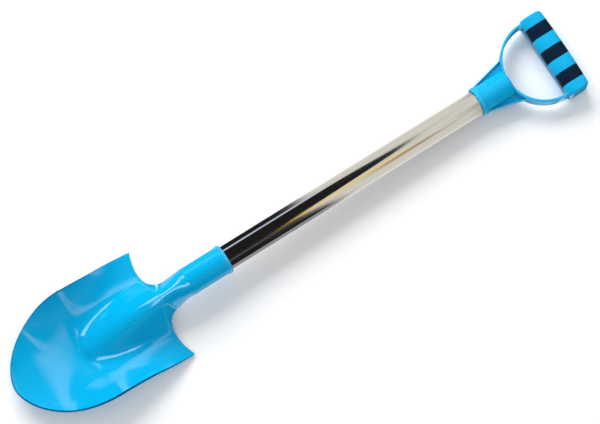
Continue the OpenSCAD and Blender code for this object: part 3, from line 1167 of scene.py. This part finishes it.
class NodeSheet:
    """Short way to lay out shader nodes in a tree."""

    def __init__(self, tree: bpy.types.NodeTree) -> None:
        """Clears the tree and keeps it.

        Args:
            tree: The node tree that is laid out.
        """
        self.tree = tree
        tree.nodes.clear()

    def add(self, kind: str, **values: object) -> bpy.types.Node:
        """Adds a node; names of inputs set their values or links, other names set properties.

        Args:
            kind: The node's type name.
            values: Inputs by name with _ for spaces, or node properties.

        Returns:
            The node.
        """
        node = self.tree.nodes.new(kind)
        for name, value in values.items():
            if hasattr(node, name):
                setattr(node, name, value)
        for name, value in values.items():
            socket = node.inputs.get(name.replace("_", " ")) if not hasattr(node, name) else None
            if socket is None:
                continue
            self.feed(socket, value)
        return node

    def feed(self, socket: bpy.types.NodeSocket, value: object) -> None:
        """Links a socket to an output, or sets its own value."""
        if isinstance(value, bpy.types.NodeSocket):
            self.tree.links.new(value, socket)
        else:
            socket.default_value = value

    def math(self, operation: str, *terms: object) -> bpy.types.NodeSocket:
        """Adds a maths node and returns its result.

        Args:
            operation: Blender's name of it.
            terms: Its inputs, in order.

        Returns:
            The result.
        """
        node = self.tree.nodes.new("ShaderNodeMath")
        node.operation = operation
        for socket, term in zip(node.inputs, terms):
            self.feed(socket, term)
        return node.outputs[0]

    def blend(self, factor: object, first: object, second: object) -> bpy.types.NodeSocket:
        """Mixes two colours and returns the result.

        Args:
            factor: Share of the second.
            first: First colour.
            second: Second colour.

        Returns:
            The result.
        """
        node = self.tree.nodes.new("ShaderNodeMix")
        node.data_type = "RGBA"
        for index, term in ((0, factor), (6, first), (7, second)):
            self.feed(node.inputs[index], term)
        return node.outputs[2]

    def output(self, shader: bpy.types.Node) -> None:
        """Ends the sheet: the shader becomes the material's surface."""
        out = self.tree.nodes.new("ShaderNodeOutputMaterial")
        self.tree.links.new(shader.outputs[0], out.inputs[0])

    def ramp(
        self, value: object, low: float, high: float, a: object = 0.0, b: object = 1.0
    ) -> bpy.types.NodeSocket:
        """Smooth step of a value between two limits.

        Args:
            value: What is stepped.
            low: The limit below which the result is a.
            high: The limit above which it is b.
            a: First result.
            b: Last result.

        Returns:
            The result.
        """
        node = self.tree.nodes.new("ShaderNodeMapRange")
        node.interpolation_type = "SMOOTHSTEP"
        for socket, term in zip(node.inputs, (value, low, high, a, b)):
            self.feed(socket, term)
        return node.outputs[0]


def rgb(r: int, g: int, b: int) -> tuple[float, float, float, float]:
    """Linear colour from display values of 0 to 255.

    Args:
        r: Red.
        g: Green.
        b: Blue.

    Returns:
        Linear red, green, blue and 1.
    """
    scaled = [c / 255.0 for c in (r, g, b)]
    linear = [c / 12.92 if c <= 0.04045 else ((c + 0.055) / 1.055) ** 2.4 for c in scaled]
    return (linear[0], linear[1], linear[2], 1.0)


def new_material(name: str) -> tuple[bpy.types.Material, NodeSheet]:
    """Makes a material and the empty sheet of its nodes.

    Args:
        name: The material's name.

    Returns:
        The material and its sheet.
    """
    mat = bpy.data.materials.new(name)
    mat.use_nodes = True
    return mat, NodeSheet(mat.node_tree)


def new_object(name: str, mesh: bpy.types.Mesh) -> bpy.types.Object:
    """Makes an object of a mesh and puts it in the scene.

    Args:
        name: The object's name.
        mesh: Its mesh.

    Returns:
        The object.
    """
    obj = bpy.data.objects.new(name, mesh)
    bpy.context.scene.collection.objects.link(obj)
    return obj


def surface_group() -> bpy.types.NodeTree:
    """Builds the effect that every finish shares: handling marks, haze and a painted highlight on
    edges.

    Returns:
        A group with Scale, Marks and Wear inputs and Haze, Edge and Height outputs; Wear scales
        the painted edge highlight, which Edge carries.
    """
    group = bpy.data.node_groups.new("handling_marks_and_edge_light", "ShaderNodeTree")
    sheet = NodeSheet(group)
    for name, value in (("Scale", 1.0), ("Marks", 0.5), ("Wear", 0.5)):
        socket = group.interface.new_socket(name, in_out="INPUT", socket_type="NodeSocketFloat")
        socket.default_value = value
    for name in ("Haze", "Edge", "Height"):
        group.interface.new_socket(name, in_out="OUTPUT", socket_type="NodeSocketFloat")
    given = sheet.add("NodeGroupInput")
    place = sheet.add("ShaderNodeTexCoord").outputs["Object"]
    size = sheet.math("MULTIPLY", given.outputs["Scale"], 28.0)
    cloud = sheet.add("ShaderNodeTexNoise", Vector=place, Scale=size, Detail=4.0, Roughness=0.6)
    fine = sheet.math("MULTIPLY", given.outputs["Scale"], 900.0)
    grain = sheet.add("ShaderNodeTexNoise", Vector=place, Scale=fine, Detail=2.0, Roughness=0.5)
    stretch = sheet.add("ShaderNodeMapping", Vector=place, Scale=(60.0, 900.0, 900.0))
    scuff = sheet.add("ShaderNodeTexNoise", Vector=stretch.outputs[0], Scale=1.0, Detail=3.0)
    line = sheet.ramp(scuff.outputs[0], 0.66, 0.74)
    haze = sheet.ramp(cloud.outputs[0], 0.42, 0.75)
    haze = sheet.math("ADD", haze, sheet.math("MULTIPLY", line, 0.5))
    # Painted highlight: the mask on the mesh's points, scaled by the Wear input, lightens edges.
    edge_light = sheet.add("ShaderNodeAttribute", attribute_name="edge_light").outputs["Fac"]
    edge = sheet.math("MULTIPLY", edge_light, given.outputs["Wear"])
    grit = sheet.math("MULTIPLY", grain.outputs[0], 0.5)
    height = sheet.math("MULTIPLY", sheet.math("SUBTRACT", grit, line), given.outputs["Marks"])
    out = sheet.add("NodeGroupOutput")
    group.links.new(sheet.math("MULTIPLY", haze, given.outputs["Marks"]), out.inputs["Haze"])
    group.links.new(edge, out.inputs["Edge"])
    group.links.new(height, out.inputs["Height"])
    return group


@dataclass(frozen=True)
class MouldedPlastic:
    """Coloured polypropylene as it leaves a polished mould."""

    name: str
    colour: tuple[float, float, float, float]
    # pale: colour of the haze marks, and of the painted highlight on edges.
    pale: tuple[float, float, float, float]
    roughness: float
    marks: float = 0.4
    # Strength of the painted edge highlight.
    wear: float = 0.25
    scale: float = 1.0
    bump: float = 0.02
    glow: float = 0.06
    ior: float = 1.5

    def build(self, shared: bpy.types.NodeTree) -> bpy.types.Material:
        """Builds the material.

        Args:
            shared: The group of handling marks.

        Returns:
            The material.
        """
        mat, sheet = new_material(self.name)
        marks = sheet.add("ShaderNodeGroup", node_tree=shared)
        for name, value in (("Scale", self.scale), ("Marks", self.marks), ("Wear", self.wear)):
            marks.inputs[name].default_value = value
        place = sheet.add("ShaderNodeTexCoord").outputs["Object"]
        flow = sheet.add("ShaderNodeTexNoise", Vector=place, Scale=9.0, Detail=2.0)
        tone = sheet.ramp(flow.outputs[0], 0.3, 0.7, 0.0, 0.12)
        deep = tuple(c * 0.8 for c in self.colour[:3]) + (1.0,)
        body = sheet.blend(tone, self.colour, deep)
        hazed = sheet.blend(sheet.math("MULTIPLY", marks.outputs["Haze"], 0.05), body, self.pale)
        # Edges blend to the pale colour: a painted highlight.
        colour = sheet.blend(marks.outputs["Edge"], hazed, self.pale)
        rough = sheet.math(
            "ADD", self.roughness, sheet.math("MULTIPLY", marks.outputs["Haze"], 0.14)
        )
        bump = sheet.add("ShaderNodeBump", Strength=self.bump, Distance=0.0004)
        sheet.feed(bump.inputs["Height"], marks.outputs["Height"])
        shader = sheet.add("ShaderNodeBsdfPrincipled")
        sheet.feed(shader.inputs["Base Color"], colour)
        sheet.feed(shader.inputs["Roughness"], rough)
        sheet.feed(shader.inputs["Normal"], bump.outputs[0])
        shader.inputs["IOR"].default_value = self.ior
        shader.inputs["Subsurface Weight"].default_value = self.glow
        shader.inputs["Subsurface Radius"].default_value = (0.4, 0.9, 1.0)
        shader.inputs["Subsurface Scale"].default_value = 0.002
        sheet.output(shader)
        return mat


@dataclass(frozen=True)
class PolishedSteel:
    """Bright metal with fine lines drawn along the shaft by the polishing belt."""

    name: str
    colour: tuple[float, float, float, float]
    roughness: float
    stretch: tuple[float, float, float] = (4.0, 420.0, 420.0)
    bump: float = 0.003
    marks: float = 0.15

    def build(self, shared: bpy.types.NodeTree) -> bpy.types.Material:
        """Builds the material.

        Args:
            shared: The group of handling marks.

        Returns:
            The material.
        """
        mat, sheet = new_material(self.name)
        marks = sheet.add("ShaderNodeGroup", node_tree=shared)
        for name, value in (("Scale", 0.6), ("Marks", self.marks), ("Wear", 0.0)):
            marks.inputs[name].default_value = value
        place = sheet.add("ShaderNodeTexCoord").outputs["Object"]
        drawn = sheet.add("ShaderNodeMapping", Vector=place, Scale=self.stretch)
        lines = sheet.add("ShaderNodeTexNoise", Vector=drawn.outputs[0], Scale=1.0, Detail=3.0)
        dull = tuple(c * 0.86 for c in self.colour[:3]) + (1.0,)
        tone = sheet.ramp(lines.outputs[0], 0.35, 0.7, 0.0, 0.5)
        colour = sheet.blend(tone, self.colour, dull)
        spread = sheet.ramp(lines.outputs[0], 0.3, 0.75, self.roughness, self.roughness + 0.03)
        haze = sheet.math("MULTIPLY", marks.outputs["Haze"], 0.08)
        bump = sheet.add("ShaderNodeBump", Strength=self.bump, Distance=0.0001)
        sheet.feed(bump.inputs["Height"], lines.outputs[0])
        shader = sheet.add("ShaderNodeBsdfPrincipled", Metallic=1.0)
        sheet.feed(shader.inputs["Base Color"], colour)
        sheet.feed(shader.inputs["Roughness"], sheet.math("ADD", spread, haze))
        sheet.feed(shader.inputs["Normal"], bump.outputs[0])
        sheet.output(shader)
        return mat


def dress(obj: bpy.types.Object, material: bpy.types.Material) -> None:
    """Gives an object one material in every slot it has."""
    obj.data.materials.clear()
    obj.data.materials.append(material)


# ---- studio --------------------------------------------------------------------------------


FAR = 1e9


@dataclass(frozen=True)
class Field:
    """A soft-edged field of light on the tunnel.

    Its angles and its places along the axis are each a low limit, a high limit and the width of
    the soft edge. A field that stands behind the panel is hidden where the panel is.
    """

    angles: tuple[float, float, float]
    places: tuple[float, float, float]
    colour: tuple[float, float, float]
    behind: bool = False


@dataclass
class Room:
    """What glossy surfaces mirror: a wide light tunnel round the shaft, and even pale light.

    The tunnel is a pipe of large radius about the shaft's axis. A place on it is an angle round
    the axis, 0 over the hollow side and 90 on the blade's left, and a distance along it.
    """

    radius: float = 7000.0
    reach: float = 9000.0
    steps_round: int = 361
    steps_along: int = 721
    dark: float = 0.025
    edge_angles: tuple[float, ...] = (
        -180, -135, -95, -56, -45, -36, -25, -15, -6, 2, 12, 21, 30, 39, 50, 62, 75, 190
    )
    edge_places: tuple[float, ...] = (
        1600, 1660, 1620, 1570, 1540, 1510, 1550, 1680, 1775, 1830, 1852, 1859, 1835, 1780,
        1705, 1600, 1548, 1548
    )
    panel_colour: tuple[float, float, float] = (1.34, 1.30, 1.20)
    panel_end: float = 2900.0
    left_places: tuple[float, ...] = (
        -4300, -3411, -1735, -1265, -765, -379, 20, 366, 872, 1239
    )
    left_angles: tuple[float, ...] = (25, 29, 29, 31, 35, 39, 44, 50, 62, 76)
    right_places: tuple[float, ...] = (
        -4600, -3700, -1900, -1421, -907, -509, -93, 275, 837, 1279
    )
    right_angles: tuple[float, ...] = (-1, -6, -8, -10, -14, -18, -24, -30, -42, -55)
    lamp_places: tuple[float, float, float] = (-2700.0, 420.0, 260.0)
    lamp_colour: tuple[float, float, float] = (4.2, 4.4, 4.7)
    bow_angles: tuple[float, ...] = (40, 46, 59, 68, 80, 90)
    bow_places: tuple[float, ...] = (4700, 4084, 2848, 2414, 2060, 1700)
    bow_colour: tuple[float, float, float] = (0.4, 0.43, 0.46)
    fields: tuple[Field, ...] = (
        Field((57, 73, 4), (1180, 2000, 120), (1.00, 1.12, 1.45), True),
        Field((-43, -28, 6), (1490, 1830, 90), (0.55, 0.0, -0.9)),
        Field((-62, -40, 12), (1740, 1930, 110), (-0.55, -0.75, -0.85)),
        Field((-168, -112, 12), (-FAR, 1800, 200), (0.55, 0.54, 0.57), True),
        Field((-60, -42, 12), (-FAR, FAR, 1), (0.11, 0.11, 0.11), True),
        Field((108, 172, 14), (-FAR, 925, 250), (0.50, 0.51, 0.53)),
        Field((-172, -108, 14), (-FAR, 925, 250), (0.50, 0.51, 0.53)),
        Field((60, 122, 20), (-FAR, -6100, 500), (1.10, 1.12, 1.15)),
        Field((-104, -40, 20), (-FAR, -6100, 500), (1.10, 1.12, 1.15)),
        Field((60, 122, 20), (5300, FAR, 500), (1.10, 1.12, 1.15)),
        Field((-104, -40, 20), (5300, FAR, 500), (1.10, 1.12, 1.15)),
    )

    def panel(self, angle: Array, along: Array) -> Array:
        """Share of the broad panel: from an edge that winds round the tunnel to a soft end.

        Beyond the tube's share of it the panel is narrower round the shaft.

        Args:
            angle: Degrees round the axis.
            along: Millimetres along it.

        Returns:
            0 to 1 for each place.
        """
        panel = ease((along - np.interp(angle, self.edge_angles, self.edge_places)) / 70.0 + 0.5)
        far = 1.0 - ease((along - self.panel_end) / 1100.0 + 0.5)
        flank = mix(0.03, 1.0, window(angle, -13.0, 80.0, 18.0))
        side = window(angle, -200.0, 62.0, 8.0)
        panel *= mix(1.0, flank, ease((along - 2020.0) / 70.0)) * mix(0.05, 1.0, far)
        return panel * mix(1.0, side, ease((along - 2060.0) / 80.0))

    def glow(self, angle: Array, along: Array) -> Array:
        """Light of each place on the tunnel: the panel, two long bent lamps, a bow and fields.

        Args:
            angle: Degrees round the axis.
            along: Millimetres along it.

        Returns:
            Linear colour of each place.
        """
        panel = self.panel(angle, along)
        rise = 1.0 + 0.15 * ease((along - 2050.0) / 250.0)
        left = angle - np.interp(along, self.left_places, self.left_angles)
        right = angle - np.interp(along, self.right_places, self.right_angles)
        lamps = np.maximum(window(left, -10.0, 13.0, 7.0), window(right, -13.0, 10.0, 7.0))
        lamps *= window(along, *self.lamp_places)
        bow_path = np.interp(angle, self.bow_angles, self.bow_places)
        bow = window(along - bow_path, -90.0, 90.0, 80.0) * window(angle, 42.0, 60.0, 8.0)
        layers = [
            (panel * rise, self.panel_colour), (lamps, self.lamp_colour), (bow, self.bow_colour)
        ]
        for one in self.fields:
            share = window(angle, *one.angles) * window(along, *one.places)
            layers.append((share * (1.0 - panel) if one.behind else share, one.colour))
        total = np.full(np.shape(angle) + (3,), self.dark)
        for amount, colour in layers:
            total = total + amount[..., None] * np.array(colour)
        return np.maximum(total, 0.0)

    def tunnel(self) -> None:
        """Builds the tunnel, which only reflections see."""
        angle, along = np.meshgrid(
            np.linspace(-180.0, 180.0, self.steps_round),
            np.linspace(-self.reach, self.reach, self.steps_along),
            indexing="ij",
        )
        turn = np.radians(angle)
        points = np.stack(
            [along, self.radius * np.sin(turn), self.radius * np.cos(turn)], axis=-1
        )
        mesh = bpy.data.meshes.new("light_tunnel")
        faces = grid_faces(self.steps_round, self.steps_along)
        mesh.from_pydata(LIE.place(points), [], faces.tolist())
        glow = mesh.attributes.new("glow", "FLOAT_COLOR", "POINT")
        colours = np.concatenate([self.glow(angle, along), np.ones(angle.shape + (1,))], axis=-1)
        glow.data.foreach_set("color", colours.astype(np.float32).ravel())
        obj = new_object("light_tunnel", mesh)
        mat, sheet = new_material("tunnel_glow")
        shine = sheet.add("ShaderNodeEmission", Strength=1.0)
        seen = sheet.add("ShaderNodeAttribute", attribute_name="glow")
        sheet.feed(shine.inputs["Color"], seen.outputs["Color"])
        sheet.output(shine)
        mat.cycles.emission_sampling = "NONE"
        dress(obj, mat)
        for kind in ("camera", "diffuse", "transmission", "volume_scatter", "shadow"):
            setattr(obj, f"visible_{kind}", False)

    def build(self) -> None:
        """Builds the tunnel and the even light of the world."""
        self.tunnel()
        world = bpy.data.worlds.new("studio")
        bpy.context.scene.world = world
        world.use_nodes = True
        sheet = NodeSheet(world.node_tree)
        plain = sheet.add("ShaderNodeBackground", Color=rgb(245, 247, 250), Strength=0.66)
        final = sheet.add("ShaderNodeOutputWorld")
        world.node_tree.links.new(plain.outputs[0], final.inputs[0])


@dataclass
class Studio:
    """Pale floor, soft light and the camera."""

    towards: tuple[float, float, float] = (-0.17, -0.175, 0.97)
    distance: float = 5.0
    roll: float = 31.8
    station: float = 331.9
    frame_width: float = 0.5945
    aside: float = 0.2
    key_place: tuple[float, float, float] = (0.2, 1.5, 1.1)
    key_size: tuple[float, float] = (1.8, 1.2)
    key_watts: float = 45.0
    fill_place: tuple[float, float, float] = (-0.3, -1.2, 1.8)
    fill_size: tuple[float, float] = (1.6, 1.6)
    fill_watts: float = 7.0

    def floor(self) -> None:
        """Lays a pale floor: flat for 3 m round the spade, then rising with the square."""
        x = np.linspace(-4.0, 4.0, 41)
        gx, gy = np.meshgrid(x, x, indexing="ij")
        far = np.maximum(0.0, np.hypot(gx, gy) - 3.0)
        points = np.stack([gx, gy, far**2 * 0.1], axis=-1).reshape(-1, 3)
        mesh = bpy.data.meshes.new("floor")
        mesh.from_pydata(points, [], grid_faces(41, 41).tolist())
        mesh.shade_smooth()
        obj = new_object("floor", mesh)
        mat, sheet = new_material("floor_white")
        shader = sheet.add("ShaderNodeBsdfPrincipled", Roughness=0.9)
        shader.inputs["Base Color"].default_value = (0.9, 0.9, 0.9, 1.0)
        shader.inputs["Specular IOR Level"].default_value = 0.0
        sheet.output(shader)
        dress(obj, mat)
        obj.visible_glossy = False

    def lamp(
        self, name: str, place: Vector, size: tuple[float, float], watts: float, aim: Vector
    ) -> None:
        """Adds a rectangular soft lamp that doesn't show in reflections.

        Args:
            name: The lamp's name.
            place: Where it hangs.
            size: Its two sides in metres.
            watts: Its power.
            aim: The point that it faces.
        """
        data = bpy.data.lights.new(name, "AREA")
        data.shape = "RECTANGLE"
        data.size, data.size_y = size
        data.energy = watts
        obj = bpy.data.objects.new(name, data)
        obj.location = place
        obj.rotation_euler = (aim - place).to_track_quat("-Z", "Y").to_euler()
        obj.visible_glossy = False
        bpy.context.scene.collection.objects.link(obj)

    def lights(self) -> None:
        """Hangs the key light on the spade's left and a weak fill on its right."""
        middle = LIE.matrix() @ Vector((self.station, 0.0, 0.0))
        key, fill = middle + Vector(self.key_place), middle + Vector(self.fill_place)
        self.lamp("key", key, self.key_size, self.key_watts, middle)
        self.lamp("fill", fill, self.fill_size, self.fill_watts, middle)

    def camera(self) -> None:
        """Places the camera, turned about its own axis so that the shaft climbs to the right."""
        m = LIE.matrix()
        target = m @ Vector((self.station, self.aside, 0.0))
        turn = m.to_3x3().normalized()
        back = (turn @ Vector(self.towards)).normalized()
        shaft = turn @ Vector((1.0, 0.0, 0.0))
        shaft = (shaft - back * shaft.dot(back)).normalized()
        roll = math.radians(self.roll)
        right = (Matrix.Rotation(-roll, 3, back) @ shaft).normalized()
        up = back.cross(right)
        data = bpy.data.cameras.new("camera")
        data.sensor_width = 36.0
        data.lens = data.sensor_width * self.distance / self.frame_width
        data.clip_end = 50.0
        cam = bpy.data.objects.new("camera", data)
        spin = Matrix((right, up, back)).transposed().to_4x4()
        cam.matrix_world = Matrix.Translation(target + back * self.distance) @ spin
        bpy.context.scene.collection.objects.link(cam)
        bpy.context.scene.camera = cam

    def build(self) -> None:
        """Sets up the whole studio."""
        self.camera()
        self.floor()
        self.lights()
        Room().build()
        bpy.context.scene.view_settings.view_transform = "Standard"


# ---- the spade -----------------------------------------------------------------------------


def fit_piece(
    obj: bpy.types.Object, node: str, material: bpy.types.Material
) -> None:
    """Puts a piece in the place of its CAD node, with its body and finish.

    Args:
        obj: The piece.
        node: The CAD node that it stands for.
        material: Its finish.
    """
    dress(obj, material)
    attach(obj, "root")
    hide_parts(node)
    log.info("%s stands for %s: %d faces", obj.name, node, len(obj.data.polygons))


def main() -> None:
    """Builds the studio, the pieces and their finishes."""
    log.info("the shaft leans by %.2f degrees", math.degrees(LIE.lean()))
    shared = surface_group()
    # Each plastic's second colour serves its haze marks and its painted edge highlight.
    blade_blue = MouldedPlastic(
        "blade_blue", rgb(0, 163, 213), rgb(60, 190, 235), roughness=0.07, ior=1.62
    ).build(shared)
    grip_blue = MouldedPlastic(
        "grip_blue", rgb(4, 162, 210), rgb(90, 200, 240), roughness=0.15, bump=0.04, ior=1.27
    ).build(shared)
    pad_navy = MouldedPlastic(
        "pad_navy", rgb(6, 28, 48), rgb(16, 44, 66), roughness=0.22, bump=0.1, glow=0.0,
        scale=2.0, ior=1.17
    ).build(shared)
    plug_white = MouldedPlastic(
        "plug_white", rgb(224, 224, 214), rgb(240, 240, 235), roughness=0.5, bump=0.1
    ).build(shared)
    mirror = PolishedSteel("tube_mirror", rgb(180, 179, 176), 0.025).build(shared)
    zinc = PolishedSteel(
        "screw_zinc", rgb(180, 182, 184), 0.3, stretch=(900.0, 900.0, 900.0)
    ).build(shared)

    Studio().build()
    fit_piece(Blade().build(), "blade", blade_blue)
    fit_piece(Shaft().build(), "shaft_tube", mirror)
    grip = Grip()
    fit_piece(grip.build(), "grip_handle", grip_blue)
    for place in PadPlace:
        node = f"grip_pad_{place.name.lower()}"
        fit_piece(grip.pad(place), node, pad_navy)
    for name, material in (
        ("lower_tube_plug", plug_white),
        ("upper_tube_plug", plug_white),
        ("lower_fixing_screw", zinc),
        ("upper_fixing_screw", zinc),
    ):
        dress(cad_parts[name], material)
        log.info("%s keeps its packed shape", name)


if __name__ == "__main__":
    main()
